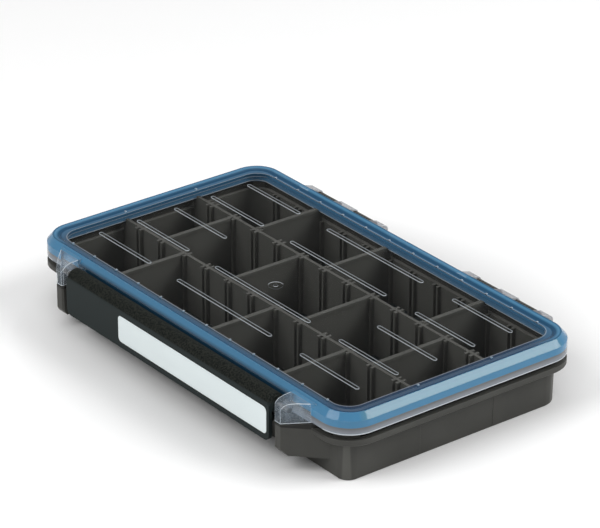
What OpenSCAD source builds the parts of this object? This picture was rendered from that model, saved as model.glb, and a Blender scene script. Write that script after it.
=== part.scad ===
// Hinged watertight tackle case: a divided tray, a clear sealed lid and a full-width front latch.
// Millimetres, +Z up. Origin: centre of the tray's footprint, on the surface it stands on.
// X runs along the case, the latch is at -Y and the hinge at +Y.

/* [Case] */
// Length of the lid and of the tray's flange
case_len = 280; // [264:1:320]
// Width of the lid and of the flange, front to back
case_wid = 160; // [150:1:190]
// Corner radius of the lid and of the flange
corner_r = 18; // [15:0.5:24]
// Height of the tray's sealing face above the table
tray_h = 28.9; // [26:0.1:40]
// Height of the lid from the skirt's lower edge to the top of the rim
lid_h = 11.6; // [11:0.1:16]
// Gap left between the skirt and the flange when the case is shut
seal_gap = 0.5; // [0.3:0.1:1]

/* [Tray] */
// Thickness of the tray's outer wall at the flange
tray_wall = 2; // [1.6:0.1:2.6]
// How far the outer wall stands in from the flange's edge
tray_inset = 6.4; // [6:0.1:7]
// How far each side leans in from the flange to the bottom
tray_draft = 0.6; // [0.2:0.1:0.9]
// Thickness of the tray's floor
floor_t = 1.8; // [1.4:0.1:2.6]
// Radius of the tray's bottom edge
foot_r = 0.8; // [0.4:0.1:1.6]
// Corner radius of the tray's wall at the front
front_corner_r = 7.5; // [6:0.5:10]
// Height of the flange
flange_h = 6.3; // [5.8:0.1:8]
// Height of the set-back band at the top of the flange
band_h = 2.7; // [2:0.1:3]
// Depth of the set-back band
band_in = 3.2; // [1:0.1:3.4]
// Thickness of the flange's hanging lip
flange_lip_t = 2.1; // [1.8:0.1:2.6]
// Depth of the groove under the flange
groove_h = 2.4; // [1.5:0.1:3]
// Distance from the flange's edge to the sealing tongue
tongue_in = 4.2; // [4:0.1:4.5]
// Thickness of the sealing tongue
tongue_t = 2; // [1.6:0.1:2]
// Height of the sealing tongue
tongue_h = 4.4; // [3:0.1:4.6]
// Depth of the shallow panel in each end wall
end_panel_d = 0.3; // [0.2:0.1:0.6]

/* [Partitions and dividers] */
// Thickness of the two long partitions
part_t = 1.8; // [1.4:0.1:2.6]
// Height of the partitions above the sealing face
part_rise = 7.5; // [6.8:0.1:7.8]
// Distance between the two long partitions, centre to centre
middle_row = 49.4; // [40:0.1:60]
// How far the rows sit towards the hinge
row_shift = 0.6; // [-3:0.1:3]
// Distance from an end wall to the nearest divider slot
end_cell = 16.8; // [12:0.1:20]
// Width of the ribs that make a slot
rib_w = 1.5; // [1:0.1:2]
// How far a rib stands out from its wall
rib_d = 2.3; // [1.6:0.1:3]
// Thickness of a divider
div_t = 1.6; // [1.2:0.1:2.2]
// Clearance on each side of a divider in its slot
div_fit = 0.25; // [0.15:0.05:0.4]
// How far a divider's top stands over the partitions
div_rise = 0.6; // [0:0.1:0.7]
// Width of the bead along a divider's top
bead_w = 2.6; // [2.3:0.1:3.4]
// Height of the bead
bead_h = 2; // [1:0.1:3]

/* [Lid] */
// Thickness of the window
window_t = 2; // [1.6:0.1:2.4]
// Depth of the window below the top of the rim
window_drop = 1; // [0.6:0.1:1.2]
// Width of the rim's bevel, seen from above
bevel_w = 3.2; // [2.6:0.1:3.6]
// Height of the rim's bevel
bevel_h = 3.7; // [3:0.1:4]
// Wall thickness of the skirt
skirt_t = 1.8; // [1.4:0.1:2]
// Distance from the lid's edge to the inner lip
lip_in = 8.6; // [8.4:0.1:9.2]
// Thickness of the inner lip
lip_t = 1.5; // [1:0.1:1.8]
// Height of the inner lip below the window
lip_h = 3.3; // [3:0.1:3.6]
// Height of the seal ring
seal_h = 4.7; // [4:0.1:4.8]
// Clearance between the seal ring and its channel
seal_fit = 0.3; // [0.2:0.05:0.4]
// Width of the raised bars on the window
bar_w = 2.4; // [1.6:0.1:3]
// Height of the raised bars
bar_h = 1; // [0.5:0.1:1]
// Half length of the bars in the middle
mid_bar = 40.8; // [30:0.1:50]
// Start of the bars at both ends, from the middle of the lid
end_bar_from = 68.8; // [60:0.1:75]
// End of the bars at both ends
end_bar_to = 115; // [100:0.1:118]
// Distance between the rows of bars
bar_pitch = 25.85; // [22:0.05:27]

/* [Hinge] */
// Distance from the lid's back edge to the hinge axis
hinge_out = 8; // [7:0.1:10]
// Height of the hinge axis above the sealing face
hinge_up = 2.2; // [1.5:0.1:3]
// Radius of the lid's knuckles
lid_knuckle_r = 3.2; // [2.8:0.1:3.6]
// Radius of the tray's knuckles
tray_knuckle_r = 2.4; // [2.2:0.1:3.2]
// Radius of the hinge pins
hinge_pin_r = 1.25; // [1:0.05:1.5]
// Distance from the middle of the case to the first knuckle
hinge_from = 36.8; // [25:0.1:42]
// Width of the lid knuckle at each end of a group
end_knuckle_w = 8.2; // [6:0.1:10]
// Width of the lid knuckle in the middle of a group
mid_knuckle_w = 13.4; // [10:0.1:15]
// Width of a tray knuckle
tray_knuckle_w = 18.2; // [14:0.1:19]
// Gap between neighbouring knuckles
knuckle_gap = 0.4; // [0.3:0.05:0.8]

/* [Latch] */
// Length of the latch
latch_len = 184; // [160:1:184]
// Distance from the lid's front edge to the latch's pivot
pivot_out = 6; // [5.9:0.1:7]
// Height of the pivot above the skirt's lower edge
pivot_up = 4.1; // [3.6:0.1:4.6]
// Radius of the latch's rolled top
roll_r = 5.3; // [4.8:0.1:5.3]
// Wall thickness of the rolled top
roll_t = 2; // [1.6:0.1:2.4]
// Thickness of the latch's front plate
plate_t = 2.4; // [2:0.1:3]
// Height of the latch's lower edge above the table
latch_z = 12.2; // [10:0.1:14]
// Thickness of the hook
hook_t = 2; // [1.6:0.1:2.6]
// Gap between the hook and the flange
hook_gap = 0.3; // [0.2:0.05:0.6]
// Thickness of the gussets behind the hook
gusset_t = 1.6; // [1.2:0.1:2.4]
// Radius of the latch pins
latch_pin_r = 1.5; // [1.2:0.05:1.7]
// Gap between the latch's end and the ear beside it
ear_gap = 4.2; // [1:0.1:4.8]
// Width of an ear's flat front
ear_front = 5.5; // [4.8:0.1:7]
// Angle of an ear's slanted outer side
ear_angle = 44; // [40:1:52]
// Wall thickness of an ear
ear_wall = 1.8; // [1.4:0.1:2]
// Depth of the ear below the skirt's lower edge
ear_drop = 2.4; // [1.5:0.1:4.5]
// Height of the bosses' underside above the table
boss_z = 8.8; // [4:0.1:10]
// Length of the label plate
label_len = 132.5; // [90:0.5:134]
// Height of the label plate
label_h = 15.6; // [8:0.1:16]
// Distance from the latch's lower edge up to the label plate
label_up = 3.5; // [3:0.1:5]
// Thickness of the label plate
label_t = 0.5; // [0.4:0.1:0.8]
// Distance from the latch's end to the label plate
label_in = 2.2; // [2.2:0.1:8]

/* [Hidden] */
$fn = 64;

// Shared small clearances
run_fit = 0.06;   // a pin turning in its bore
seat_fit = 0.02;  // a pin held in its bore
bite = 0.5;       // how far joined volumes reach into each other
lid_fit = 0.7;    // between the lid's inner lip and what stands inside it

// Heights
z_flange = tray_h - flange_h;
z_skirt = tray_h + seal_gap;
z_rim = z_skirt + lid_h;
z_window = z_rim - window_drop;
z_under = z_window - window_t;
z_lip = z_under - lip_h;
z_part = tray_h + part_rise;
z_stub = tray_h + tongue_h - 0.3;
z_seal = tray_h + tongue_h + seal_fit;
z_channel = z_seal + seal_h + seal_fit;

// Plan: half sizes of the cavity inside the walls
wall_in = tray_inset + tray_wall;
cav_x = case_len / 2 - wall_in;
cav_y = case_wid / 2 - wall_in;
lip_x = case_len / 2 - lip_in - lip_t;
lip_y = case_wid / 2 - lip_in - lip_t;

// Slots
slots = 12;
slot_pitch = 2 * (cav_x - end_cell) / (slots - 1);
slot_gap = div_t + 2 * div_fit;
front_slots = [3, 7, 10];
middle_slots = [2, 5, 8, 11];
rear_slots = [3, 6, 10];
part_y = [row_shift - middle_row / 2, row_shift + middle_row / 2];
function slot_x(i) = (i - (slots + 1) / 2) * slot_pitch;

// Hinge
hinge_y = case_wid / 2 + hinge_out;
hinge_z = tray_h + hinge_up;
knuckle_w = [end_knuckle_w, tray_knuckle_w, mid_knuckle_w, tray_knuckle_w, end_knuckle_w];
// Distance from the middle of the case to the near side of knuckle n, counted from 0
function knuckle_x(n) =
    n == 0 ? hinge_from : knuckle_x(n - 1) + knuckle_w[n - 1] + knuckle_gap;
hinge_span = knuckle_x(4) + end_knuckle_w - hinge_from;

// Latch
pivot_y = -case_wid / 2 - pivot_out;
pivot_z = z_skirt + pivot_up;
face_y = pivot_y - roll_r;
ear_x = latch_len / 2 + ear_gap;
ear_y = face_y + 0.1;
end_cap = 8;
hook_z = z_flange - hook_gap;
hook_y = -case_wid / 2 + flange_lip_t + 0.3;
label_x = latch_len / 2 - label_in - label_len / 2;
label_z = latch_z + label_up + label_h / 2;

// Colours
tray_colour = [0.27, 0.27, 0.26];
clear_colour = [0.75, 0.8, 0.84, 0.35];
seal_colour = [0.2, 0.45, 0.65];
latch_colour = [0.2, 0.22, 0.22];
label_colour = [0.86, 0.89, 0.89];
steel_colour = [0.6, 0.6, 0.6];

// ---------------------------------------------------------------- helpers

function rev(v) = [for (i = [len(v) - 1:-1:0]) v[i]];

// A quarter arc from angle a to angle b, in points as [x, y]
function arc(cx, cy, r, a, b, n = 5) =
    [for (i = [0:n]) [cx + r * cos(a + (b - a) * i / n), cy + r * sin(a + (b - a) * i / n)]];

// Carries a section round the case's rounded outline; its points are
// [distance in from the case's edge, height]
module edge_sweep(section, front_r = corner_r, rear_r = corner_r) {
    x = case_len / 2;
    y = case_wid / 2;
    both_sides() {
        for (end = [[-1, front_r], [1, rear_r]])
            translate([x - end[1], end[0] * (y - end[1]), 0]) rotate(end[0] < 0 ? -90 : 0)
                rotate_extrude(angle = 90) polygon([for (p = section) [end[1] - p[0], p[1]]]);
        translate([0, y - rear_r, 0]) rotate([90, 0, 0])
            linear_extrude(2 * y - rear_r - front_r) polygon([for (p = section) [x - p[0], p[1]]]);
    }
    for (end = [[-1, front_r], [1, rear_r]]) mirror([0, end[0] < 0 ? 1 : 0, 0])
        along_x(end[1] - x, x - end[1]) polygon([for (p = section) [y - p[0], p[1]]]);
}

// A plate with the case's outline drawn in by d
module inset_plate(d, h, r = corner_r) {
    x = case_len / 2 - d;
    y = case_wid / 2 - d;
    linear_extrude(h) {
        square([2 * x, 2 * (y - r + d)], center = true);
        square([2 * (x - r + d), 2 * y], center = true);
        for (sx = [-1, 1], sy = [-1, 1]) translate([sx * (x - r + d), sy * (y - r + d)]) circle(r - d);
    }
}

// A section drawn in Y and Z, carried along X from x0 to x1
module along_x(x0, x1) {
    translate([x0, 0, 0]) rotate([90, 0, 90]) linear_extrude(x1 - x0) children();
}

// Left and right copies
module both_sides() {
    children();
    mirror([1, 0, 0]) children();
}

// ---------------------------------------------------------------- tray

// Edge of a slotted wall: the face at y0, with the ribs' ends at y1
function slotted_edge(y0, y1) = [
    for (i = [1:slots])
        let (a = slot_x(i) - slot_gap / 2, b = slot_x(i) + slot_gap / 2)
        each [[a - rib_w, y0], [a - rib_w, y1], [a, y1], [a, y0],
              [b, y0], [b, y1], [b + rib_w, y1], [b + rib_w, y0]]
];

// The leaning outer wall, with the edge of the floor
wall_section = concat(
    [[wall_in + 3, 0]],
    [for (p = arc(0, 0, foot_r, -90, 0)) [tray_inset + tray_draft + foot_r - p[0], foot_r + p[1]]],
    [[tray_inset, z_flange + groove_h],
     [tray_inset, z_flange + groove_h + bite],
     [wall_in, z_flange + groove_h + bite],
     [wall_in, floor_t],
     [wall_in + 3, floor_t]]
);

// Flange with its hanging lip, set-back band and sealing tongue
flange_section = [
    [wall_in, z_flange + groove_h],
    [flange_lip_t, z_flange + groove_h],
    [flange_lip_t, z_flange],
    [0.6, z_flange],
    [0, z_flange + 0.6],
    [0, tray_h - band_h],
    [band_in, tray_h - band_h],
    [band_in, tray_h],
    [tongue_in, tray_h],
    [tongue_in, tray_h + tongue_h - 0.6],
    [tongue_in + 0.5, tray_h + tongue_h],
    [tongue_in + tongue_t - 0.5, tray_h + tongue_h],
    [tongue_in + tongue_t, tray_h + tongue_h - 0.6],
    [tongue_in + tongue_t, tray_h],
    [wall_in, tray_h]
];

// One long partition with slots on both of its sides; its ends step down under the lid's lip
module partition(y) {
    x1 = lip_x - lid_fit;
    color(tray_colour) translate([0, y, floor_t]) {
        linear_extrude(z_part - floor_t) polygon(concat(
            [[-x1, -part_t / 2]],
            slotted_edge(-part_t / 2, -part_t / 2 - rib_d),
            [[x1, -part_t / 2], [x1, part_t / 2]],
            rev(slotted_edge(part_t / 2, part_t / 2 + rib_d)),
            [[-x1, part_t / 2]]));
        translate([-cav_x, -part_t / 2, 0]) cube([2 * cav_x, part_t, z_stub - floor_t]);
    }
}

// Slot ribs along the inside of the front or back wall
module wall_ribs() {
    low = floor_t - bite;
    x1 = slot_x(slots) + slot_gap / 2 + rib_w;
    translate([0, 0, low]) linear_extrude(tray_h - low) polygon(concat(
        [[-x1, cav_y + bite]],
        slotted_edge(cav_y, cav_y - rib_d),
        [[x1, cav_y + bite]]));
}

// Plan of an ear or boss: flat inner side and front, slanted outer side; grow > 0 shrinks it
module ear_plan(back_y, shrink = 0) {
    x0 = ear_x + shrink;
    y0 = ear_y + shrink;
    x1 = ear_x + ear_front - shrink * tan((90 - ear_angle) / 2);
    polygon([
        [x0, back_y],
        [x0, y0 + (shrink > 0 ? 0 : 1)],
        [x0 + (shrink > 0 ? 0 : 1), y0],
        [x1, y0],
        [x1 + (back_y - y0) / tan(ear_angle), back_y]
    ]);
}

// Side view of the boss under an ear
module boss_side() {
    back = -case_wid / 2 + tray_inset + bite;
    edge = -case_wid / 2 + band_in;
    polygon([
        [back, boss_z],
        [ear_y + 2.8, boss_z],
        [ear_y, boss_z + 3.6],
        [ear_y, z_skirt - ear_drop - 0.9],
        [-case_wid / 2 - 0.4, tray_h - 0.5],
        [edge, tray_h - 0.1],
        [back, tray_h - 0.1]
    ]);
}

module boss() {
    back = -case_wid / 2 + tray_inset + bite;
    intersection() {
        linear_extrude(tray_h) ear_plan(back);
        along_x(ear_x, case_len / 2) boss_side();
    }
}

// Side view of a tray knuckle and the arm that carries it
module tray_knuckle_side() {
    edge = case_wid / 2;
    translate([hinge_y, hinge_z]) circle(tray_knuckle_r);
    polygon([
        [edge - bite, z_flange + 0.3],
        [edge + 0.35 * hinge_out, z_flange + 0.3],
        [hinge_y + tray_knuckle_r * cos(-40), hinge_z + tray_knuckle_r * sin(-40)],
        [hinge_y, hinge_z],
        [hinge_y + tray_knuckle_r * cos(130), hinge_z + tray_knuckle_r * sin(130)],
        [edge + 0.6, tray_h - 0.2],
        [edge - bite, tray_h - band_h - 0.1]
    ]);
}

module base_tray() {
    color(tray_colour) difference() {
        union() {
            edge_sweep(wall_section, front_corner_r + tray_inset);
            edge_sweep(flange_section);
            inset_plate(wall_in + 2, floor_t, wall_in + 6);
            wall_ribs();
            mirror([0, 1, 0]) wall_ribs();
            both_sides() {
                boss();
                for (n = [1, 3]) along_x(knuckle_x(n), knuckle_x(n) + knuckle_w[n])
                    tray_knuckle_side();
            }
        }
        both_sides() {
            // bore for the hinge pin
            translate([hinge_from - 1, hinge_y, hinge_z]) rotate([0, 90, 0])
                cylinder(h = hinge_span + 2, r = hinge_pin_r + seat_fit);
            // shallow panel between the partitions in the end wall, leaning like the wall
            translate([case_len / 2 - tray_inset - tray_draft, row_shift, 0])
                rotate([0, atan(tray_draft / (z_flange - foot_r)), 0])
                translate([-end_panel_d, part_y[0] - row_shift, -2])
                cube([3, middle_row, z_flange + 1.6]);
        }
    }
}

// ---------------------------------------------------------------- dividers

// Outline of a divider in an outer row, from the partition (y0) to the outer wall (y1)
module outer_divider_side(y0, y1, y_lip) {
    top = z_part + div_rise;
    c = 1.2;
    polygon([
        [y0 + c, floor_t], [y1 - c, floor_t], [y1, floor_t + c],
        [y1, z_stub - c / 2], [y1 - c / 2, z_stub], [y_lip, z_stub],
        [y_lip, top - c], [y_lip - c, top], [y0 + c / 2, top],
        [y0, top - c / 2], [y0, floor_t + c]
    ]);
}

module outer_divider(slot, side) {
    part = side > 0 ? part_y[1] : -part_y[0];
    y0 = part + part_t / 2 + div_fit;
    y1 = cav_y - div_fit;
    y_lip = lip_y - lid_fit;
    top = z_part + div_rise;
    color(tray_colour) translate([slot_x(slot), 0, 0]) mirror([0, side > 0 ? 0 : 1, 0]) {
        along_x(-div_t / 2, div_t / 2) outer_divider_side(y0, y1, y_lip);
        translate([-bead_w / 2, y0 + rib_d + div_fit, top - bead_h])
            cube([bead_w, y_lip - 1.5 - y0 - rib_d - div_fit, bead_h]);
    }
}

module middle_divider(slot) {
    y0 = part_y[0] + part_t / 2 + div_fit;
    y1 = part_y[1] - part_t / 2 - div_fit;
    top = z_part + div_rise;
    c = 1.2;
    color(tray_colour) translate([slot_x(slot), 0, 0]) {
        along_x(-div_t / 2, div_t / 2) polygon([
            [y0 + c, floor_t], [y1 - c, floor_t], [y1, floor_t + c],
            [y1, top - c / 2], [y1 - c / 2, top], [y0 + c / 2, top],
            [y0, top - c / 2], [y0, floor_t + c]
        ]);
        translate([-bead_w / 2, y0 + rib_d + div_fit, top - bead_h])
            cube([bead_w, y1 - y0 - 2 * (rib_d + div_fit), bead_h]);
    }
}

// ---------------------------------------------------------------- lid

// Skirt, bevel, rim, seal channel and inner lip, as one section
lid_section = [
    [0, z_skirt],
    [0, z_rim - bevel_h],
    [bevel_w, z_rim],
    [bevel_w + 1, z_rim],
    [lip_in - 0.2, z_window],
    [lip_in + lip_t + 1, z_window],
    [lip_in + lip_t + 1, z_under],
    [lip_in + lip_t, z_under],
    [lip_in + lip_t, z_lip],
    [lip_in, z_lip],
    [lip_in, z_channel],
    [skirt_t + 0.55 * bevel_w, z_channel],
    [skirt_t, z_channel - 0.55 * bevel_h],
    [skirt_t, z_skirt]
];

// A raised bar with round ends, from x0 to x1
module bar(x0, x1, y) {
    translate([x0, y - bar_w / 2, z_window - bite]) cube([x1 - x0, bar_w, bar_h + bite]);
    for (x = [x0, x1]) translate([x, y, z_window - bite]) cylinder(h = bar_h + bite, d = bar_w);
}

// Side view of an ear, or of the pocket inside it where d > 0
module ear_side(back_y, d = 0) {
    front = ear_y + d;
    bottom = z_skirt - ear_drop;
    top = z_rim - 0.9 - d;
    polygon(concat(
        [[back_y, z_skirt + (d > 0 ? -9 : 0)]],
        d > 0 ? [] : [[-case_wid / 2 - 0.2, z_skirt - 0.3]],
        [[front, bottom + (d > 0 ? -5 : 0)]],
        [[front, top - 4.9], [front + 1.1, top - 2.9], [front + 2.9, top - 1.3]],
        [[front + 5.8, top - 0.5], [back_y, top]]));
}

module ear() {
    back = -case_wid / 2 + skirt_t / 2;
    inside = -case_wid / 2 - ear_wall;
    bearing = 4.2;
    difference() {
        intersection() {
            linear_extrude(z_rim) ear_plan(back + 1);
            along_x(ear_x, case_len / 2) ear_side(back + 1);
        }
        // pocket, open below, on both sides of the rib that carries the pin's far end
        difference() {
            intersection() {
                translate([0, 0, 1]) linear_extrude(z_rim) ear_plan(inside, ear_wall);
                along_x(ear_x, case_len / 2) ear_side(inside, ear_wall);
            }
            translate([ear_x + bearing, -case_wid, 0]) cube([ear_wall, case_wid, z_rim]);
        }
    }
}

// Side view of a lid knuckle and its arm
module lid_knuckle_side() {
    edge = case_wid / 2;
    translate([hinge_y, hinge_z]) circle(lid_knuckle_r);
    polygon([
        [edge - bite, z_skirt + 0.4],
        [edge + 0.3, z_skirt + 0.4],
        [hinge_y + lid_knuckle_r * cos(-110), hinge_z + lid_knuckle_r * sin(-110)],
        [hinge_y, hinge_z],
        [hinge_y + lid_knuckle_r * cos(60), hinge_z + lid_knuckle_r * sin(60)],
        [edge + 2.4, z_rim - bevel_h - 1.2],
        [edge - bite, z_rim - bevel_h - 0.4]
    ]);
}

// Small tabs on the rim's inner edge, one over each slot and each partition
module rim_tabs() {
    tab = [1, 1.2, 0.6];
    for (i = [1:slots], s = [-1, 1])
        translate([slot_x(i), s * (case_wid / 2 - lip_in - 0.7), z_window + tab[2] / 2 - 0.2])
        cube([tab[0], tab[1], tab[2] + 0.4], center = true);
    for (y = part_y, s = [-1, 1])
        translate([s * (case_len / 2 - lip_in - 0.7), y, z_window + tab[2] / 2 - 0.2])
        cube([tab[1], tab[0], tab[2] + 0.4], center = true);
}

module lid_shell() {
    color(clear_colour) difference() {
        union() {
            edge_sweep(lid_section);
            translate([0, 0, z_under]) inset_plate(lip_in + lip_t + 0.5, window_t);
            for (k = [-2:2]) {
                if (k != 0) bar(-mid_bar, mid_bar, k * bar_pitch);
                both_sides() bar(end_bar_from, end_bar_to, k * bar_pitch);
            }
            rim_tabs();
            both_sides() {
                ear();
                for (n = [0, 2, 4]) along_x(knuckle_x(n), knuckle_x(n) + knuckle_w[n])
                    lid_knuckle_side();
            }
        }
        both_sides() {
            translate([hinge_from - 1, hinge_y, hinge_z]) rotate([0, 90, 0])
                cylinder(h = hinge_span + 2, r = hinge_pin_r + run_fit);
            translate([ear_x - 1, pivot_y, pivot_z]) rotate([0, 90, 0])
                cylinder(h = 8, r = latch_pin_r + seat_fit);
        }
        // moulding mark in the window
        translate([-5.3, -12.7, z_window - 0.3]) difference() {
            cylinder(h = 1, r = 4.2);
            translate([0, 0, -1]) cylinder(h = 3, r = 1.4);
        }
    }
}

// Seal ring in the lid's channel, pressed on by the tray's tongue
module lid_gasket() {
    color(seal_colour) edge_sweep([
        [skirt_t + seal_fit, z_seal],
        [skirt_t + seal_fit, z_seal + seal_h - 0.55 * bevel_h],
        [skirt_t + seal_fit + 0.55 * bevel_w, z_seal + seal_h],
        [lip_in - seal_fit, z_seal + seal_h],
        [lip_in - seal_fit, z_seal]
    ]);
}

module hinge_pin() {
    color(steel_colour) translate([hinge_from + 1, hinge_y, hinge_z]) rotate([0, 90, 0])
        cylinder(h = hinge_span - 2, r = hinge_pin_r);
}

module latch_pin() {
    color(steel_colour) translate([latch_len / 2 - end_cap + 1.5, pivot_y, pivot_z])
        rotate([0, 90, 0]) cylinder(h = end_cap - 1.5 + ear_gap + 6.5, r = latch_pin_r);
}

// ---------------------------------------------------------------- latch

// The front plate: a tall plate with round lower corners
module latch_plate() {
    r = 4;
    x = latch_len / 2;
    translate([0, face_y, 0]) rotate([-90, 0, 0]) mirror([0, 1, 0]) linear_extrude(plate_t) {
        translate([-x, latch_z + r]) square([2 * x, pivot_z - latch_z - r]);
        translate([-x + r, latch_z]) square([2 * (x - r), 2 * r]);
        for (s = [-1, 1]) translate([s * (x - r), latch_z + r]) circle(r);
    }
}

// The rolled top: a half tube open below, with a short back wall and solid ends
module latch_roll() {
    x = latch_len / 2;
    c = 1.2;
    translate([0, pivot_y, pivot_z]) {
        difference() {
            rotate([0, 90, 0]) cylinder(h = 2 * (x - c), r = roll_r, center = true);
            rotate([0, 90, 0]) cylinder(h = 2 * (x - end_cap), r = roll_r - roll_t, center = true);
            translate([-x + end_cap, -roll_r - 1, -2 * roll_r])
                cube([2 * (x - end_cap), 2 * roll_r + 2, 2 * roll_r]);
        }
        both_sides() translate([x - c, 0, 0]) rotate([0, 90, 0])
            cylinder(h = c, r1 = roll_r, r2 = roll_r - c);
        translate([-x + end_cap - bite, roll_r - roll_t, -1.6])
            cube([2 * (x - end_cap + bite), roll_t - 0.02, 1.7]);
        translate([-x + end_cap - bite, -roll_r, -0.5])
            cube([2 * (x - end_cap + bite), roll_t, 0.7]);
    }
}

// The hook under the flange, with its gussets
module latch_hook() {
    x = latch_len / 2 - end_cap;
    back = face_y + plate_t - bite;
    translate([-x, back, hook_z - hook_t]) cube([2 * x, hook_y - back, hook_t]);
    n = 8;
    for (i = [0:n]) translate([-x + (2 * x - gusset_t) * i / n, 0, 0])
        along_x(0, gusset_t) polygon([
            [back, hook_z - hook_t + 0.1], [hook_y - 1.5, hook_z - hook_t + 0.1],
            [back, hook_z - hook_t - 6]
        ]);
}

module label_outline(grow) {
    r = 2.5 + grow;
    x = label_len / 2 + grow;
    z = label_h / 2 + grow;
    square([2 * x, 2 * (z - r)], center = true);
    square([2 * (x - r), 2 * z], center = true);
    for (sx = [-1, 1], sz = [-1, 1]) translate([sx * (x - r), sz * (z - r)]) circle(r);
}

module latch_bar() {
    color(latch_colour) difference() {
        union() {
            latch_plate();
            latch_roll();
            latch_hook();
        }
        both_sides() translate([latch_len / 2 - end_cap + 1, pivot_y, pivot_z])
            rotate([0, 90, 0]) cylinder(h = end_cap + 1, r = latch_pin_r + run_fit);
        translate([label_x, face_y + label_t + 0.1, label_z]) rotate([90, 0, 0])
            linear_extrude(2) label_outline(0.15);
    }
}

module latch_label() {
    color(label_colour) translate([label_x, face_y + label_t + 0.1, label_z])
        rotate([90, 0, 0]) linear_extrude(label_t) label_outline(0);
}

// ---------------------------------------------------------------- assembly

base_tray();
partition(part_y[0]);  // partition_front
partition(part_y[1]);  // partition_rear
outer_divider(front_slots[0], -1);  // divider_front_1
outer_divider(front_slots[1], -1);  // divider_front_2
outer_divider(front_slots[2], -1);  // divider_front_3
middle_divider(middle_slots[0]);  // divider_middle_1
middle_divider(middle_slots[1]);  // divider_middle_2
middle_divider(middle_slots[2]);  // divider_middle_3
middle_divider(middle_slots[3]);  // divider_middle_4
outer_divider(rear_slots[0], 1);  // divider_rear_1
outer_divider(rear_slots[1], 1);  // divider_rear_2
outer_divider(rear_slots[2], 1);  // divider_rear_3
mirror([1, 0, 0]) hinge_pin();  // hinge_pin_left
hinge_pin();  // hinge_pin_right
lid_shell();
lid_gasket();
mirror([1, 0, 0]) latch_pin();  // latch_pin_left
latch_pin();  // latch_pin_right
latch_bar();
latch_label();
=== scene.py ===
"""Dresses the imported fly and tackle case: moulded tray, clear lid, blue seal, latch and studio."""

from __future__ import annotations

import logging
import math
from dataclasses import dataclass, field
from enum import Enum

import bmesh
import bpy
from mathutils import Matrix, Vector

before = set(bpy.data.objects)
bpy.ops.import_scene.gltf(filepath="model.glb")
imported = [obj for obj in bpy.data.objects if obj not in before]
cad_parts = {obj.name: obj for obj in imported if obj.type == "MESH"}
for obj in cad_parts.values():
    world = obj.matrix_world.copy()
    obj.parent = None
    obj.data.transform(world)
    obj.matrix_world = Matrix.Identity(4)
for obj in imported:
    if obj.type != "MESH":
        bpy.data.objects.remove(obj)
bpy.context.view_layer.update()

LOG = logging.getLogger("tackle_case")

Socket = bpy.types.NodeSocket
Colour = tuple[float, float, float]
# Where a mask starts and where it is full, or a value's two ends. The first may be the larger.
Span = tuple[float, float]

# Most of a noise field's values lie in this span.
NOISE_MIDDLE: Span = (0.3, 0.7)


def srgb(red: int, green: int, blue: int) -> Colour:
    """Turns a colour as a screen shows it into the linear values that shaders take.

    Args:
        red: Red, 0 to 255.
        green: Green, 0 to 255.
        blue: Blue, 0 to 255.

    Returns:
        The same colour in linear light.
    """
    def linear(value: int) -> float:
        """One channel in linear light."""
        v = value / 255.0
        return v / 12.92 if v <= 0.04045 else ((v + 0.055) / 1.055) ** 2.4

    return linear(red), linear(green), linear(blue)


def toned(colour: Colour, tone: float | Colour) -> Colour:
    """Makes a colour lighter or darker.

    Args:
        colour: The colour to change.
        tone: What it is multiplied by, or one such number for each channel.

    Returns:
        The new colour.
    """
    factors = tone if isinstance(tone, tuple) else (tone, tone, tone)
    return tuple(channel * factor for channel, factor in zip(colour, factors))


class Axis(Enum):
    """The directions of the frame, as places in a vector."""

    X = 0
    Y = 1
    Z = 2


class Sum(Enum):
    """What a Math node works out."""

    ABSOLUTE = "ABSOLUTE"
    ADD = "ADD"
    MAXIMUM = "MAXIMUM"
    MINIMUM = "MINIMUM"
    MULTIPLY = "MULTIPLY"
    SINE = "SINE"
    SQUARE_ROOT = "SQRT"
    SUBTRACT = "SUBTRACT"


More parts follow.
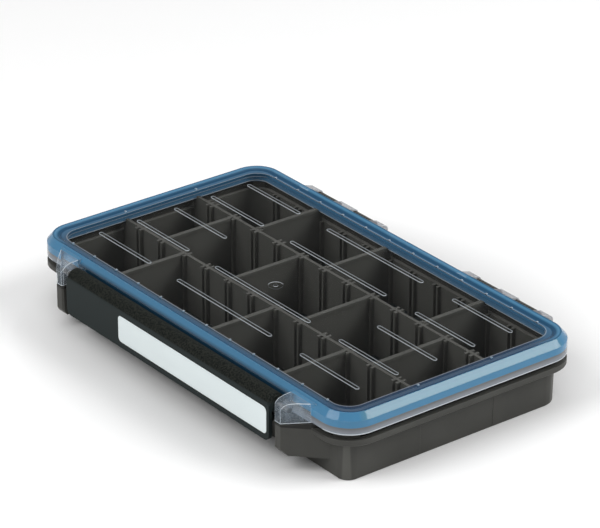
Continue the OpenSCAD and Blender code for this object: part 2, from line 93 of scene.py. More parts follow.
class Graph:
    """A thin layer over a material's nodes that keeps the recipes below short."""

    def __init__(self, name: str) -> None:
        """Starts a material with a Principled shader and object coordinates.

        Args:
            name: The material's name.
        """
        self.material: bpy.types.Material = bpy.data.materials.new(name)
        self.material.use_nodes = True
        self.nodes = self.material.node_tree.nodes
        self.links = self.material.node_tree.links
        self.shader: bpy.types.Node = self.nodes["Principled BSDF"]
        coordinates = self.nodes.new("ShaderNodeTexCoord")
        self.place: Socket = coordinates.outputs["Object"]
        self.direction: Socket = coordinates.outputs["Normal"]

    def set(self, **values: float | Colour) -> None:
        """Sets the shader's own sockets.

        Args:
            **values: Socket names, with underscores for spaces, and their values.
        """
        for name, value in values.items():
            if isinstance(value, tuple):
                value = (*value, 1.0)
            self.shader.inputs[name.replace("_", " ")].default_value = value

    def link(self, source: Socket, socket: str) -> None:
        """Joins an output to one of the shader's sockets."""
        self.links.new(source, self.shader.inputs[socket])

    def noise(self, scale: float, detail: float = 2.0, roughness: float = 0.5) -> Socket:
        """Adds a noise field over the piece.

        Args:
            scale: Waves per metre.
            detail: Octaves.
            roughness: How strong the finer octaves are.

        Returns:
            The field's value, from 0 to 1.
        """
        node = self.nodes.new("ShaderNodeTexNoise")
        node.inputs["Scale"].default_value = scale
        node.inputs["Detail"].default_value = detail
        node.inputs["Roughness"].default_value = roughness
        self.links.new(self.place, node.inputs["Vector"])
        return node.outputs["Fac"]

    def _component(self, vector: Socket, axis: Axis) -> Socket:
        """Takes one component of a vector.

        Args:
            vector: The vector.
            axis: Which component.

        Returns:
            The component.
        """
        node = self.nodes.new("ShaderNodeSeparateXYZ")
        self.links.new(vector, node.inputs[0])
        return node.outputs[axis.value]

    def axis(self, axis: Axis) -> Socket:
        """One coordinate of the shaded point, in metres."""
        return self._component(self.place, axis)

    def facing(self, axis: Axis) -> Socket:
        """One component of the surface's direction on the piece itself, whatever its pose."""
        return self._component(self.direction, axis)

    def grazing(self) -> Socket:
        """Tells how steeply the surface is seen.

        Returns:
            0 where it is seen face on, 1 where it is seen along itself.
        """
        node = self.nodes.new("ShaderNodeLayerWeight")
        node.inputs["Blend"].default_value = 0.5
        return node.outputs["Facing"]

    def front_only(self) -> Socket:
        """1 where a surface is seen from its own side, 0 from behind."""
        return self.rest(self.nodes.new("ShaderNodeNewGeometry").outputs["Backfacing"])

    def math(self, operation: Sum, *values: Socket | float) -> Socket:
        """Runs a Math node.

        Args:
            operation: What it works out.
            *values: Outputs or numbers, in the order of its sockets.

        Returns:
            The result.
        """
        node = self.nodes.new("ShaderNodeMath")
        node.operation = operation.value
        for value, socket in zip(values, node.inputs):
            if isinstance(value, (int, float)):
                socket.default_value = value
            else:
                self.links.new(value, socket)
        return node.outputs[0]

    def product(self, first: Socket | float, *others: Socket | float) -> Socket:
        """Multiplies values.

        Args:
            first: The first value.
            *others: The values that it is multiplied by.

        Returns:
            The product.
        """
        for other in others:
            first = self.math(Sum.MULTIPLY, first, other)
        return first

    def greatest(self, first: Socket, *others: Socket) -> Socket:
        """Picks the largest of some values.

        Args:
            first: The first value.
            *others: The values that it is compared with.

        Returns:
            The largest value.
        """
        for other in others:
            first = self.math(Sum.MAXIMUM, first, other)
        return first

    def rest(self, amount: Socket) -> Socket:
        """What is missing from an amount to 1."""
        return self.math(Sum.SUBTRACT, 1.0, amount)

    def blend(self, amount: Socket, first: Socket | float, second: Socket | float) -> Socket:
        """Goes from one value to another.

        Args:
            amount: How far to go, from 0 to 1.
            first: The value at 0.
            second: The value at 1.

        Returns:
            The value between them.
        """
        left = self.product(self.rest(amount), first)
        return self.math(Sum.ADD, left, self.product(amount, second))

    def ramp(self, value: Socket, low: float, high: float, start: float = 0.0, end: float = 1.0) -> Socket:
        """Maps a value from one range to another, held at both ends.

        Args:
            value: The output to map.
            low: Where the result is start.
            high: Where the result is end.
            start: Result at low.
            end: Result at high.

        Returns:
            The mapped value.
        """
        node = self.nodes.new("ShaderNodeMapRange")
        for name, number in (("From Min", low), ("From Max", high), ("To Min", start), ("To Max", end)):
            node.inputs[name].default_value = number
        self.links.new(value, node.inputs["Value"])
        return node.outputs["Result"]

    def between(self, amount: Socket, limits: Span) -> Socket:
        """Goes from the first limit to the second as the amount goes from 0 to 1."""
        return self.ramp(amount, 0.0, 1.0, *limits)

    def along(self, axis: Axis, span: Span) -> Socket:
        """Masks by place: the span is of coordinates on one axis, in metres."""
        return self.ramp(self.axis(axis), *span)

    def turned(self, axis: Axis, span: Span) -> Socket:
        """Masks by direction: the span is of how far the surface faces along one axis."""
        return self.ramp(self.facing(axis), *span)

    def level(self, axis: Axis, span: Span) -> Socket:
        """Masks by direction as turned does, with both senses of the axis taken alike."""
        return self.ramp(self.math(Sum.ABSOLUTE, self.facing(axis)), *span)

    def apart(self, axis: Axis, span: Span, centre: float = 0.0) -> Socket:
        """Masks by distance from a plane across one axis.

        Args:
            axis: The axis that the plane stands across.
            span: Distances from the plane, in metres.
            centre: Where the plane is.

        Returns:
            The mask, from 0 to 1.
        """
        off = self.math(Sum.SUBTRACT, self.axis(axis), centre)
        return self.ramp(self.math(Sum.ABSOLUTE, off), *span)

    def block(self, spans: tuple[Span, Span], centre: tuple[float, float] = (0.0, 0.0)) -> Socket:
        """Masks by distance from a centre, along x and along y together.

        Args:
            spans: Distances along x and along y, in metres.
            centre: The centre's x and y.

        Returns:
            The mask, from 0 to 1.
        """
        sides = (self.apart(*side) for side in zip((Axis.X, Axis.Y), spans, centre))
        return self.product(*sides)

    def mix(self, amount: Socket, first: Socket | Colour, second: Socket | Colour) -> Socket:
        """Goes from one colour to another.

        Args:
            amount: How much of the second colour there is, from 0 to 1.
            first: The colour at 0.
            second: The colour at 1.

        Returns:
            The colour between them.
        """
        node = self.nodes.new("ShaderNodeMix")
        node.data_type = "RGBA"
        self.links.new(amount, node.inputs[0])
        for socket, colour in ((node.inputs[6], first), (node.inputs[7], second)):
            if isinstance(colour, tuple):
                socket.default_value = (*colour, 1.0)
            else:
                self.links.new(colour, socket)
        return node.outputs[2]

    def profile(self, value: Socket, stops: dict[float, Colour]) -> Socket:
        """Runs a row of colours along a value.

        Args:
            value: The output that picks the colour.
            stops: Colours at rising values; the first and last hold beyond their ends.

        Returns:
            The colour.
        """
        places = sorted(stops)
        low, high = places[0], places[-1]
        node = self.nodes.new("ShaderNodeValToRGB")
        while len(node.color_ramp.elements) < len(places):
            node.color_ramp.elements.new(0.5)
        for element, place in zip(node.color_ramp.elements, places):
            element.position = (place - low) / (high - low)
        for element, place in zip(node.color_ramp.elements, places):
            element.color = (*stops[place], 1.0)
        self.links.new(self.ramp(value, low, high), node.inputs["Fac"])
        return node.outputs["Color"]

    def true_normal(self) -> Socket:
        """The surface's direction as the mesh has it."""
        return self.nodes.new("ShaderNodeNewGeometry").outputs["Normal"]

    def soft_normal(self, radius: float) -> Socket:
        """Gives the surface's direction with every edge rounded.

        Args:
            radius: The rounding, in metres.

        Returns:
            The rounded direction.
        """
        node = self.nodes.new("ShaderNodeBevel")
        node.samples = 8
        node.inputs["Radius"].default_value = radius
        return node.outputs["Normal"]

    def edges(self, soft: Socket, differences: Span = (0.01, 0.12)) -> Socket:
        """Marks the edges, where the rounded direction leaves the flat one.

        Args:
            soft: The rounded direction.
            differences: Where the mark starts and where it is full, 0 for no difference.

        Returns:
            The mark, from 0 to 1.
        """
        node = self.nodes.new("ShaderNodeVectorMath")
        node.operation = "DOT_PRODUCT"
        self.links.new(soft, node.inputs[0])
        self.links.new(self.true_normal(), node.inputs[1])
        return self.ramp(node.outputs["Value"], 1.0 - differences[0], 1.0 - differences[1])

    def bump(self, height: Socket, depth: float, strength: float, base: Socket) -> None:
        """Raises the surface by a height field.

        Args:
            height: The field, 0 to 1.
            depth: Height of a full step, in metres.
            strength: How much of it shows.
            base: The direction to start from.
        """
        node = self.nodes.new("ShaderNodeBump")
        self.links.new(base, node.inputs["Normal"])
        node.inputs["Distance"].default_value = depth
        node.inputs["Strength"].default_value = strength
        self.links.new(height, node.inputs["Height"])
        self.link(node.outputs["Normal"], "Normal")


@dataclass(frozen=True)
class TrayPlan:
    """Where light and shade are painted on the tray, and how light each zone is beside the plastic.

    Places are in metres. What ends in facing is a component of a direction of length 1.
    """

    # Painted light: the faces inside the tray are made lighter, the upward ones less.
    inside: tuple[Span, Span] = ((0.1326, 0.1322), (0.0726, 0.0722))
    inside_facing: Span = (0.5, 0.2)
    inside_share: Span = (0.4, 1.0)
    inside_light_tone: float = 1.65
    # Painted shade: the upward faces of the cell floors are made darker.
    floor: Span = (0.0035, 0.0032)
    floor_facing: Span = (0.5, 0.9)
    floor_shade_tone: Colour = (0.45, 0.55, 0.62)
    # Painted highlight: the upward faces at the height of the tray's rim are made much lighter.
    ledge: Span = (0.0004, 0.0002)
    ledge_height: float = 0.0289
    ledge_facing: Span = (0.8, 0.95)
    ledge_highlight_tone: float = 3.0
    # Painted shade: dark stripes across the hinge knuckles stand in for the shade between their ribs.
    hinge: Span = (0.0815, 0.0819)
    rib_radians: float = 2900.0
    rib: Span = (-0.3, 0.3)
    rib_shade_tone: float = 0.25
    # Painted shadow: the set-back band under the lid's skirt is made nearly black.
    groove_foot: Span = (0.0261, 0.0263)
    groove_top: Span = (0.0290, 0.0289)
    groove_facing: Span = (0.5, 0.3)
    groove_from: tuple[Span, Span] = ((0.1360, 0.1362), (0.0760, 0.0762))
    groove_shadow_tone: float = 0.15
    # Painted light: the small steps on the end panels, which face along y, are made lighter against their
    # shade.
    end_step: tuple[Span, Span] = ((0.1324, 0.1326), (0.0301, 0.0299))
    end_step_facing: Span = (0.4, 0.6)
    end_step_light_tone: float = 2.6
    # Painted shadow: a dark line on the bosses' tops under the lid's ears.
    ear_boss: Span = (-0.0797, -0.0801)
    ear_boss_foot: Span = (0.0250, 0.0254)
    ear_boss_shadow_tone: float = 0.25

    def zones(self, g: Graph) -> list[tuple[Socket, float | Colour]]:
        """Makes the masks of the painted light and shade zones, in the order in which they cover each
        other.

        Args:
            g: The graph that gets the nodes.

        Returns:
            Each zone's mask and its tone.
        """
        inside_share = g.ramp(g.facing(Axis.Z), *self.inside_facing, *self.inside_share)
        waves = g.math(Sum.SINE, g.product(g.axis(Axis.X), self.rib_radians))
        groove = g.product(g.along(Axis.Z, self.groove_foot), g.along(Axis.Z, self.groove_top),
                           g.level(Axis.Z, self.groove_facing))
        beyond = g.greatest(g.apart(Axis.X, self.groove_from[0]), g.apart(Axis.Y, self.groove_from[1]))
        return [
            (g.product(g.block(self.inside), inside_share), self.inside_light_tone),
            (g.product(g.along(Axis.Z, self.floor), g.turned(Axis.Z, self.floor_facing)), self.floor_shade_tone),
            (g.product(g.apart(Axis.Z, self.ledge, self.ledge_height),
                       g.turned(Axis.Z, self.ledge_facing)), self.ledge_highlight_tone),
            (g.product(g.along(Axis.Y, self.hinge), g.ramp(waves, *self.rib)), self.rib_shade_tone),
            (g.product(groove, beyond), self.groove_shadow_tone),
            (g.product(g.block(self.end_step), g.level(Axis.Y, self.end_step_facing)), self.end_step_light_tone),
            (g.product(g.along(Axis.Y, self.ear_boss), g.along(Axis.Z, self.ear_boss_foot)),
             self.ear_boss_shadow_tone),
        ]


@dataclass(frozen=True)
class MouldedPlastic:
    """Matt injection-moulded plastic with a fine spark-eroded grain, edges lightened for wear and a
    painted highlight.
    """

    name: str
    colour: Colour
    plan: TrayPlan | None = None
    roughness: float = 0.5
    roughness_play: float = 0.05
    roughness_waves: float = 90.0
    grain_waves: float = 1400.0
    grain_depth: float = 0.00003
    grain_strength: float = 0.6
    cloud: float = 0.12
    cloud_waves: float = 28.0
    cloud_detail: float = 3.0
    cloud_span: Span = (0.35, 0.65)
    edge_radius: float = 0.0003
    wear_highlight_waves: float = 160.0
    wear_highlight_span: Span = (0.2, 0.6)
    wear_highlight_share: Span = (0.4, 1.0)
    wear_highlight_tone: float = 1.45
    wear_highlight_haze: float = 0.01
    shine: float = 0.18

    def build(self) -> bpy.types.Material:
        """Makes the material.

        Returns:
            The new material.
        """
        g = Graph(self.name)
        soft = g.soft_normal(self.edge_radius)
        colour = g.mix(g.ramp(g.noise(self.cloud_waves, self.cloud_detail), *self.cloud_span),
                       toned(self.colour, 1.0 - self.cloud), toned(self.colour, 1.0 + self.cloud))
        # The plan's zones paint light and shade onto the colour.
        zones = self.plan.zones(g) if self.plan else []
        for mask, tone in zones:
            colour = g.mix(mask, colour, toned(self.colour, tone))
        # Edges are lightened in patches: partly wear, partly a painted highlight where the rounded edges
        # catch the light.
        wear_highlight = g.product(g.edges(soft),
                         g.ramp(g.noise(self.wear_highlight_waves), *self.wear_highlight_span, *self.wear_highlight_share))
        wear_highlight_colour = tuple(channel + self.wear_highlight_haze for channel in toned(self.colour, self.wear_highlight_tone))
        g.link(g.mix(wear_highlight, colour, wear_highlight_colour), "Base Color")
        limits = (self.roughness - self.roughness_play, self.roughness + self.roughness_play)
        g.link(g.ramp(g.noise(self.roughness_waves), *NOISE_MIDDLE, *limits), "Roughness")
        g.set(Specular_IOR_Level=self.shine)
        g.bump(g.noise(self.grain_waves), self.grain_depth, self.grain_strength, soft)
        return g.material


@dataclass(frozen=True)
class LatchPlastic:
    """Charcoal latch plastic: a satin front and a coarse speckled grip along the rolled top."""

    name: str
    colour: Colour
    grip: Span
    pit: Colour = srgb(17, 20, 19)
    peak: Colour = srgb(37, 39, 35)
    speck_waves: float = 1000.0
    speck_detail: float = 3.0
    speck_roughness: float = 0.7
    speck: Span = (0.44, 0.58)
    speck_depth: float = 0.00008
    speck_strength: float = 0.8
    edge_radius: float = 0.0004
    edge_highlight_tone: float = 1.6
    roughness: Span = (0.42, 0.75)
    shine: float = 0.05

    def build(self) -> bpy.types.Material:
        """Makes the material.

        Returns:
            The new material.
        """
        g = Graph(self.name)
        soft = g.soft_normal(self.edge_radius)
        grip = g.along(Axis.Z, self.grip)
        speck = g.ramp(g.noise(self.speck_waves, self.speck_detail, self.speck_roughness), *self.speck)
        finish = g.mix(grip, self.colour, g.mix(speck, self.pit, self.peak))
        # Painted highlight: the edges are made lighter.
        g.link(g.mix(g.edges(soft), finish, toned(self.colour, self.edge_highlight_tone)), "Base Color")
        g.link(g.between(grip, self.roughness), "Roughness")
        g.set(Specular_IOR_Level=self.shine)
        g.bump(g.product(speck, grip), self.speck_depth, self.speck_strength, soft)
        return g.material


@dataclass(frozen=True)
class LidZones:
    """The lid's zones, each a mask from 0 to 1, and the depth in from its outline, in metres."""

    depth: Socket
    beyond: Socket
    seen: Socket
    flat: Socket
    skirt: Socket
    window: Socket
    window_line: Socket
    bars: Socket
    lip: Socket
    lip_line: Socket
    rear: Socket


@dataclass(frozen=True)
class LidPlan:
    """The lid's outlines and where its look changes.

    Places, and depths in from the outline, are in metres. What ends in facing is a component of
    a direction of length 1.
    """

    half: tuple[float, float] = (0.140, 0.080)
    corner: float = 0.018
    beyond: Span = (-0.0001, -0.0004)
    flat_facing: Span = (0.9, 0.95)
    window_half: tuple[float, float] = (0.1290, 0.0704)
    window_corner: float = 0.011
    window_depth: Span = (0.0, 0.0002)
    window_line: Span = (0.0006, 0.0002)
    bars: Span = (0.0400, 0.0401)
    bars_facing: Span = (0.97, 0.6)
    ring_at: tuple[float, float] = (-0.0053, -0.0127)
    ring_block: Span = (0.0085, 0.0080)
    ring_shift: Span = (0.0004, -0.0004)
    lip: Span = (0.0380, 0.0378)
    lip_depth: Span = (0.0084, 0.0085)
    lip_line: Span = (0.0352, 0.0350)
    skirt: Span = (0.0336, 0.0332)
    skirt_fade: Span = (0.0331, 0.0302)
    skirt_foot: Span = (0.0300, 0.0298)
    latch_front: Span = (-0.077, -0.078)
    latch_length: Span = (0.123, 0.122)
    bevel_facing: Span = (0.2, 0.5)
    bevel_lit_side_facing: Span = (0.70, 0.75)
    far_rear: Span = (0.05, 0.07)
    far_left: Span = (-0.115, -0.13)
    near_front: Span = (-0.058, -0.068)
    near_right: Span = (0.112, 0.126)
    shade_front: Span = (-0.0772, -0.0780)
    shade_length: Span = (0.0970, 0.0955)
    shade_depth: Span = (0.0016, 0.0002)
    tab_foot: Span = (0.0401, 0.0402)
    tab_top: Span = (0.0408, 0.0407)
    tab_outer: Span = (0.0080, 0.0082)
    tab_inner: Span = (0.0106, 0.0104)
    rear: Span = (0.0, 0.01)
    ear_side: Span = (0.0966, 0.0969)
    ear_side_facing: Span = (0.85, 0.9)
    ear_front: Span = (-0.0900, -0.0897)
    ear_front_facing: Span = (-0.85, -0.9)

    def depth(self, g: Graph, half: tuple[float, float], corner: float) -> Socket:
        """Distance in from a rounded outline; negative outside it.

        Args:
            g: The graph that gets the nodes.
            half: Half the outline's sizes along x and y.
            corner: Its corner radius.

        Returns:
            The distance, in metres.
        """
        over = [g.math(Sum.SUBTRACT, g.math(Sum.ABSOLUTE, g.axis(axis)), size - corner)
                for axis, size in zip((Axis.X, Axis.Y), half)]
        squares = [g.product(out, out) for out in (g.math(Sum.MAXIMUM, past, 0.0) for past in over)]
        round_part = g.math(Sum.SQUARE_ROOT, g.math(Sum.ADD, *squares))
        flat_part = g.math(Sum.MINIMUM, g.greatest(*over), 0.0)
        return g.math(Sum.SUBTRACT, corner, g.math(Sum.ADD, round_part, flat_part))

    def zones(self, g: Graph) -> LidZones:
        """Makes the masks that several parts of the lid's recipe share.

        Args:
            g: The graph that gets the nodes.

        Returns:
            The masks.
        """
        depth = self.depth(g, self.half, self.corner)
        inner = self.depth(g, self.window_half, self.window_corner)
        flat = g.turned(Axis.Z, self.flat_facing)
        by_ring = g.block((self.ring_block, self.ring_block), self.ring_at)
        rise = g.math(Sum.SUBTRACT, g.axis(Axis.Z), g.between(by_ring, self.ring_shift))
        lip = g.product(g.along(Axis.Z, self.lip), g.ramp(depth, *self.lip_depth))
        return LidZones(
            depth=depth,
            beyond=g.ramp(depth, *self.beyond),
            seen=g.front_only(),
            flat=flat,
            skirt=g.along(Axis.Z, self.skirt),
            window=g.ramp(inner, *self.window_depth),
            window_line=g.product(g.ramp(g.math(Sum.ABSOLUTE, inner), *self.window_line), flat),
            bars=g.product(g.ramp(rise, *self.bars), g.level(Axis.Z, self.bars_facing)),
            lip=lip,
            lip_line=g.product(lip, g.along(Axis.Z, self.lip_line)),
            rear=g.along(Axis.Y, self.rear),
        )

    def tabs(self, g: Graph, depth: Socket) -> Socket:
        """Masks the tops of the small tabs along the rim's inner edge.

        Args:
            g: The graph that gets the nodes.
            depth: The depth in from the lid's outline.

        Returns:
            The mask, from 0 to 1.
        """
        return g.product(g.along(Axis.Z, self.tab_foot), g.along(Axis.Z, self.tab_top),
                         g.ramp(depth, *self.tab_outer), g.ramp(depth, *self.tab_inner))

    def ear_inside(self, g: Graph) -> Socket:
        """Masks the faces within the hollow ears.

        Args:
            g: The graph that gets the nodes.

        Returns:
            The mask, from 0 to 1.
        """
        return g.greatest(
            g.product(g.turned(Axis.X, self.ear_side_facing), g.apart(Axis.X, self.ear_side)),
            g.product(g.turned(Axis.Y, self.ear_front_facing), g.along(Axis.Y, self.ear_front)))


@dataclass(frozen=True)
class LidColours:
    """The colours that the clear lid takes from what lies behind each part of it, with painted highlights,
    reflections and shade.
    """

    window: Colour = (0.008, 0.010, 0.013)
    # Painted highlight, used on the edges, the bars' sides, the window and lip lines, the tabs and the
    # skirt's foot.
    painted_highlight: Colour = srgb(214, 222, 228)
    # The seal's blue seen through the near rim, by depth in from the outline, with a painted highlight at
    # the outer edge, painted shade across the flat and a painted mauve reflection by the window.
    rim_near_seal_and_shade: dict[float, Colour] = field(default_factory=lambda: {
        0.0032: srgb(76, 124, 156), 0.0040: srgb(26, 68, 98), 0.0052: srgb(30, 76, 108),
        0.0074: srgb(36, 70, 94), 0.0092: srgb(48, 64, 80), 0.0099: srgb(62, 56, 60)})
    # The seal's blue seen through the far rim, with painted light bands for reflections on the lip's
    # edges.
    rim_far_seal_and_reflections: dict[float, Colour] = field(default_factory=lambda: {
        0.0030: srgb(62, 106, 136), 0.0038: srgb(40, 90, 122), 0.0046: srgb(80, 132, 166),
        0.0056: srgb(66, 114, 146), 0.0064: srgb(36, 76, 106), 0.0080: srgb(34, 70, 98),
        0.0088: srgb(66, 104, 134), 0.0096: srgb(64, 100, 128)})
    # Painted shade: the near corner and the right end of the rim are darkened towards this.
    corner: Colour = srgb(10, 52, 84)
    # Painted shadow of the latch on the rim.
    latch_shadow: Colour = srgb(10, 30, 46)
    bevel: Colour = srgb(58, 120, 158)
    # Painted: the bevel facing +x, which the key lamp lights, takes a greyer blue.
    bevel_lit_side: Colour = srgb(76, 126, 148)
    side: Colour = srgb(66, 125, 162)
    lip: Colour = srgb(84, 128, 162)
    skirt_top: Colour = srgb(104, 105, 106)
    skirt_foot: Colour = srgb(132, 139, 148)
    lugs: Colour = srgb(200, 218, 234)
    rear_lugs: Colour = srgb(112, 114, 120)


@dataclass(frozen=True)
class ClearPlastic:
    """Clear moulded plastic: a see-through window, a rim filled with the seal's blue, hazy lugs, painted
    highlights and painted shade.
    """

    name: str
    colours: LidColours = field(default_factory=LidColours)
    plan: LidPlan = LidPlan()
    corner_shade_share: float = 0.7
    end_shade_share: float = 0.6
    shade: float = 0.85
    line_highlight: float = 0.25
    tab_highlight: float = 0.3
    edge_radius: float = 0.0004
    edge_differences: Span = (0.02, 0.2)
    lug_edge_radius: float = 0.0012
    lug_edge_differences: Span = (0.03, 0.07)
    edge_highlight: Span = (0.3, 0.95)
    ear_inside_edge: float = 0.2
    rear_edge: float = 0.35
    rounding: float = 0.0006
    window_alpha: float = 0.05
    bar_alpha: float = 0.85
    rim_alpha: float = 0.85
    skirt_alpha: float = 0.80
    lip_alpha: float = 0.75
    lug_alpha: Span = (0.13, 0.5)
    lug_grazing: Span = (0.5, 0.98)
    rear_alpha: float = 0.75
    edge_alpha: float = 0.7
    line_alpha: float = 0.4
    shine: Span = (0.40, 0.03)
    roughness: float = 0.08
    refraction: float = 1.5

    def build(self) -> bpy.types.Material:
        """Makes the material.

        Returns:
            The new material.
        """
        g = Graph(self.name)
        zones = self.plan.zones(g)
        outline = self._outline(g, zones)
        # Painted highlight on the edges outside the window.
        edge_glint = g.product(outline, g.between(zones.beyond, self.edge_highlight))
        g.link(g.mix(edge_glint, self._colour(g, zones), self.colours.painted_highlight), "Base Color")
        g.link(self._alpha(g, zones, outline), "Alpha")
        g.link(g.mix(zones.beyond, g.soft_normal(self.rounding), g.true_normal()), "Normal")
        g.link(g.between(zones.flat, self.shine), "Specular IOR Level")
        g.set(Roughness=self.roughness, IOR=self.refraction)
        return g.material

    def _outline(self, g: Graph, zones: LidZones) -> Socket:
        """Marks the edges that catch the light, outside the window.

        Args:
            g: The graph that gets the nodes.
            zones: The lid's zones.

        Returns:
            The mark, from 0 to 1.
        """
        edges = g.edges(g.soft_normal(self.edge_radius), self.edge_differences)
        lug_edges = g.edges(g.soft_normal(self.lug_edge_radius), self.lug_edge_differences)
        skin = g.product(zones.seen, g.between(self.plan.ear_inside(g), (1.0, self.ear_inside_edge)),
                         g.between(zones.rear, (1.0, self.rear_edge)))
        edges = g.blend(zones.beyond, edges, g.product(skin, lug_edges))
        return g.product(edges, g.rest(zones.window))

    def _rim(self, g: Graph, zones: LidZones) -> Socket:
        """Colours the rim's flat and bevel, which show the seal under them, with painted highlights and
        painted shade.

        Args:
            g: The graph that gets the nodes.
            zones: The lid's zones.

        Returns:
            The colour.
        """
        plan, tint = self.plan, self.colours
        far = g.greatest(g.along(Axis.Y, plan.far_rear), g.along(Axis.X, plan.far_left))
        # Painted shade: the near front-right corner and the right end of the rim are darkened towards the
        # corner colour.
        corner = g.product(g.along(Axis.Y, plan.near_front), g.along(Axis.X, plan.near_right))
        end = g.ramp(g.axis(Axis.X), *plan.near_right, 0.0, self.end_shade_share)
        dim = g.greatest(g.product(corner, self.corner_shade_share), end)
        near = g.mix(dim, g.profile(zones.depth, tint.rim_near_seal_and_shade), tint.corner)
        rim = g.mix(far, near, g.profile(zones.depth, tint.rim_far_seal_and_reflections))
        bevel = g.mix(g.turned(Axis.X, plan.bevel_lit_side_facing), tint.bevel, tint.bevel_lit_side)
        slope = g.mix(g.turned(Axis.Z, plan.bevel_facing), tint.side, bevel)
        rim = g.mix(zones.flat, slope, rim)
        shade = g.product(g.along(Axis.Y, plan.shade_front), g.apart(Axis.X, plan.shade_length),
                          g.ramp(zones.depth, *plan.shade_depth, 0.0, self.shade))
        return g.mix(shade, rim, tint.latch_shadow)

    def _skirt(self, g: Graph) -> Socket:
        """Colours the skirt, darker at the top and lighter towards the foot, with a painted highlight
        along the foot wherever the latch doesn't hide it.

        Args:
            g: The graph that gets the nodes.

        Returns:
            The colour.
        """
        plan, tint = self.plan, self.colours
        by_latch = g.product(g.along(Axis.Y, plan.latch_front), g.apart(Axis.X, plan.latch_length))
        foot_highlight = g.product(g.along(Axis.Z, plan.skirt_foot), g.rest(by_latch))
        fade = g.mix(g.along(Axis.Z, plan.skirt_fade), tint.skirt_top, tint.skirt_foot)
        return g.mix(foot_highlight, fade, tint.painted_highlight)

    def _colour(self, g: Graph, zones: LidZones) -> Socket:
        """Colours the whole lid but for its edges.

        Args:
            g: The graph that gets the nodes.
            zones: The lid's zones.

        Returns:
            The colour.
        """
        tint = self.colours
        colour = g.mix(zones.skirt, self._rim(g, zones), self._skirt(g))
        colour = g.mix(zones.beyond, colour, g.mix(zones.rear, tint.lugs, tint.rear_lugs))
        # Painted highlight on the sides of the window's raised bars.
        colour = g.mix(zones.window, colour, g.mix(zones.bars, tint.window, tint.painted_highlight))
        # Painted reflection along the lip's lower edge.
        colour = g.mix(zones.lip, colour, g.mix(zones.lip_line, tint.lip, tint.painted_highlight))
        # Painted reflection along the window's edge.
        colour = g.mix(g.product(zones.window_line, self.line_highlight), colour, tint.painted_highlight)
        # Painted glints on the tabs' tops.
        tabs = self.plan.tabs(g, zones.depth)
        return g.mix(g.product(tabs, self.tab_highlight), colour, tint.painted_highlight)

    def _alpha(self, g: Graph, zones: LidZones, outline: Socket) -> Socket:
        """Says how much of each part shows and how much is looked through.

        Args:
            g: The graph that gets the nodes.
            zones: The lid's zones.
            outline: The mark of the edges.

        Returns:
            The alpha, from 0 to 1.
        """
        lugs = g.greatest(g.ramp(g.grazing(), *self.lug_grazing, *self.lug_alpha),
                          g.product(zones.rear, self.rear_alpha))
        alpha = g.between(zones.skirt, (self.rim_alpha, self.skirt_alpha))
        alpha = g.blend(zones.beyond, alpha, g.product(lugs, zones.seen))
        alpha = g.blend(zones.window, alpha, g.between(zones.bars, (self.window_alpha, self.bar_alpha)))
        alpha = g.blend(zones.lip, alpha, self.lip_alpha)
        # The painted highlights on the edges and the window line are made more opaque so that they show.
        return g.greatest(alpha, g.product(outline, self.edge_alpha),
                          g.product(zones.window_line, self.line_alpha))


@dataclass(frozen=True)
class SealRubber:
    """Soft blue seal rubber."""

    name: str
    colour: Colour
    cloud_waves: float = 60.0
    cloud_tone: float = 1.12
    roughness: float = 0.45

    def build(self) -> bpy.types.Material:
        """Makes the material.

        Returns:
            The new material.
        """
        g = Graph(self.name)
        cloud = g.ramp(g.noise(self.cloud_waves), *NOISE_MIDDLE)
        g.link(g.mix(cloud, self.colour, toned(self.colour, self.cloud_tone)), "Base Color")
        g.set(Roughness=self.roughness)
        return g.material


@dataclass(frozen=True)
class DrawnWire:
    """Bright drawn steel wire with a slightly uneven polish."""

    name: str
    colour: Colour
    polish_waves: float = 400.0
    roughness: Span = (0.25, 0.4)

    def build(self) -> bpy.types.Material:
        """Makes the material.

        Returns:
            The new material.
        """
        g = Graph(self.name)
        g.set(Base_Color=self.colour, Metallic=1.0)
        g.link(g.ramp(g.noise(self.polish_waves), *NOISE_MIDDLE, *self.roughness), "Roughness")
        return g.material


def dress(node: str, material: bpy.types.Material) -> None:
    """Gives a CAD node its finish.

    Args:
        node: The node's name.
        material: The material for every slot.
    """
    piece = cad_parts[node]
    if not piece.data.materials:
        piece.data.materials.append(material)
    for slot in piece.material_slots:
        slot.material = material
    LOG.info("dressed %s with %s", node, material.name)


@dataclass
class Tray:
    """The moulded tray, its hinge pins and its removable dividers."""

    plastic: MouldedPlastic = MouldedPlastic("tray_plastic", srgb(64, 64, 61), TrayPlan())
    pins: DrawnWire = DrawnWire("hinge_wire", (0.4, 0.4, 0.4))
    rows: dict[str, int] = field(default_factory=lambda: {"front": 3, "middle": 4, "rear": 3})

    def build(self) -> None:
        """Dresses the tray, the partitions, the dividers and the hinge pins."""
        plastic = self.plastic.build()
        for node in ("base_tray", "partition_front", "partition_rear"):
            dress(node, plastic)
        for row, count in self.rows.items():
            for number in range(1, count + 1):
                dress(f"divider_{row}_{number}", plastic)
        wire = self.pins.build()
        for side in ("left", "right"):
            dress(f"hinge_pin_{side}", wire)


@dataclass
class Lid:
    """The clear lid with its seal and the latch pins that it carries."""

    clear: ClearPlastic = field(default_factory=lambda: ClearPlastic("lid_clear"))
    seal: SealRubber = SealRubber("seal_rubber", srgb(82, 150, 200))
    pins: DrawnWire = DrawnWire("latch_wire", (0.12, 0.12, 0.12))

    def build(self) -> None:
        """Dresses the lid, its seal and its pins."""
        dress("lid_shell", self.clear.build())
        dress("lid_gasket", self.seal.build())
        wire = self.pins.build()
        for side in ("left", "right"):
            dress(f"latch_pin_{side}", wire)


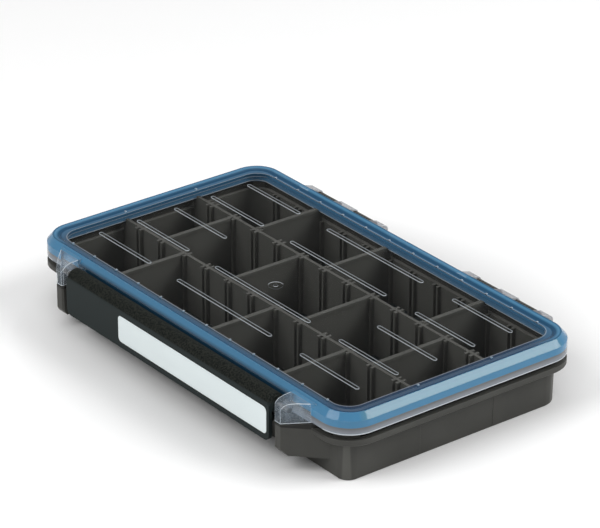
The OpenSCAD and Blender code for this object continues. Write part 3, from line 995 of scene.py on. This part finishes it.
@dataclass
class Latch:
    """The full-width latch and its pale label plate."""

    plastic: LatchPlastic = LatchPlastic("latch_plastic", srgb(37, 43, 43), grip=(0.0345, 0.0352))
    label: MouldedPlastic = MouldedPlastic("label_plate", srgb(218, 227, 228), roughness=0.4, cloud=0.01,
                                           grain_waves=2000.0, grain_depth=0.00001)

    def build(self) -> None:
        """Dresses the latch and its label plate."""
        dress("latch_bar", self.plastic.build())
        dress("latch_label", self.label.build())


@dataclass(frozen=True)
class Softbox:
    """A square lamp that points at the case."""

    name: str
    place: tuple[float, float, float]
    size: float
    power: float


@dataclass
class Studio:
    """A pale floor, soft lamps and the camera at the photograph's angle."""

    azimuth: float = 52.394
    elevation: float = 26.311
    eye: tuple[float, float, float] = (1.366357, -1.052556, 0.903853)
    focal: float = 212.81
    sensor: float = 36.0
    sight: Span = (0.05, 20.0)
    aim: tuple[float, float, float] = (0.0, 0.0, 0.02)
    floor_half: float = 4.0
    # Painted shadow: the floor is darker round the case and fades to its own colour further out.
    floor_shadow_colour: Colour = (0.60, 0.60, 0.60)
    floor_far: Colour = (0.98, 0.98, 0.98)
    floor_centre: tuple[float, float, float] = (0.01, 0.015, 0.0)
    floor_shadow_fade: Span = (0.08, 0.18)
    floor_roughness: float = 0.9
    floor_shine: float = 0.1
    room: Colour = (0.27, 0.27, 0.27)
    backdrop: Colour = (1.0, 1.0, 1.0)
    lamps: tuple[Softbox, ...] = (
        Softbox("key_softbox", (0.99, 1.012, 1.177), 1.0, 22.0),
        Softbox("top_softbox", (0.0, -0.2, 2.0), 1.4, 8.0),
        Softbox("side_softbox", (-0.34, -1.38, 1.40), 1.15, 18.0),
        Softbox("fill_softbox", (1.2, -1.2, 1.0), 0.9, 5.0),
    )

    def build(self) -> None:
        """Makes the floor, the world, the lights and the camera."""
        self._floor()
        self._world()
        self._lamps()
        self._camera()

    def _floor(self) -> None:
        """Lays the floor, with a painted shadow round the case that fades out further away."""
        mesh = bpy.data.meshes.new("studio_floor")
        bm = bmesh.new()
        bmesh.ops.create_grid(bm, x_segments=1, y_segments=1, size=self.floor_half)
        bm.to_mesh(mesh)
        bm.free()
        floor = bpy.data.objects.new("studio_floor", mesh)
        bpy.context.scene.collection.objects.link(floor)
        g = Graph("studio_floor")
        away = g.nodes.new("ShaderNodeVectorMath")
        away.operation = "DISTANCE"
        g.links.new(g.place, away.inputs[0])
        away.inputs[1].default_value = self.floor_centre
        fade = g.ramp(away.outputs["Value"], *self.floor_shadow_fade)
        g.link(g.mix(fade, self.floor_shadow_colour, self.floor_far), "Base Color")
        g.set(Roughness=self.floor_roughness, Specular_IOR_Level=self.floor_shine)
        mesh.materials.append(g.material)

    def _world(self) -> None:
        """Lights the room, with a white backdrop for what is seen, mirrored or looked through."""
        world = bpy.data.worlds.new("studio")
        bpy.context.scene.world = world
        world.use_nodes = True
        nodes, links = world.node_tree.nodes, world.node_tree.links
        backdrop, room = nodes["Background"], nodes.new("ShaderNodeBackground")
        backdrop.inputs[0].default_value = (*self.backdrop, 1.0)
        room.inputs[0].default_value = (*self.room, 1.0)
        rays, choice = nodes.new("ShaderNodeLightPath"), nodes.new("ShaderNodeMixShader")
        shown = rays.outputs["Is Camera Ray"]
        for kind in ("Is Glossy Ray", "Is Transmission Ray"):
            either = nodes.new("ShaderNodeMath")
            either.operation = Sum.MAXIMUM.value
            links.new(shown, either.inputs[0])
            links.new(rays.outputs[kind], either.inputs[1])
            shown = either.outputs[0]
        links.new(shown, choice.inputs[0])
        links.new(room.outputs[0], choice.inputs[1])
        links.new(backdrop.outputs[0], choice.inputs[2])
        links.new(choice.outputs[0], nodes["World Output"].inputs["Surface"])

    def _lamps(self) -> None:
        """Sets the softboxes."""
        for box in self.lamps:
            lamp = bpy.data.lights.new(box.name, "AREA")
            lamp.shape = "SQUARE"
            lamp.size = box.size
            lamp.energy = box.power
            stand = bpy.data.objects.new(box.name, lamp)
            stand.location = box.place
            beam = Vector(self.aim) - Vector(box.place)
            stand.rotation_euler = beam.to_track_quat("-Z", "Y").to_euler()
            bpy.context.scene.collection.objects.link(stand)

    def _camera(self) -> None:
        """Places the camera where the photograph was taken from."""
        camera = bpy.data.cameras.new("photo_camera")
        camera.lens = self.focal
        camera.sensor_width = self.sensor
        camera.clip_start, camera.clip_end = self.sight
        stand = bpy.data.objects.new("photo_camera", camera)
        stand.location = self.eye
        stand.rotation_euler = (math.radians(90.0 - self.elevation), 0.0, math.radians(self.azimuth))
        bpy.context.scene.collection.objects.link(stand)
        bpy.context.scene.camera = stand
        bpy.context.scene.view_settings.view_transform = "Standard"


def main() -> None:
    """Builds the case piece by piece, then the studio round it."""
    logging.basicConfig(level=logging.INFO, format="%(name)s: %(message)s")
    for part in (Tray(), Lid(), Latch(), Studio()):
        part.build()
        LOG.info("finished %s", type(part).__name__)


if __name__ == "__main__":
    main()
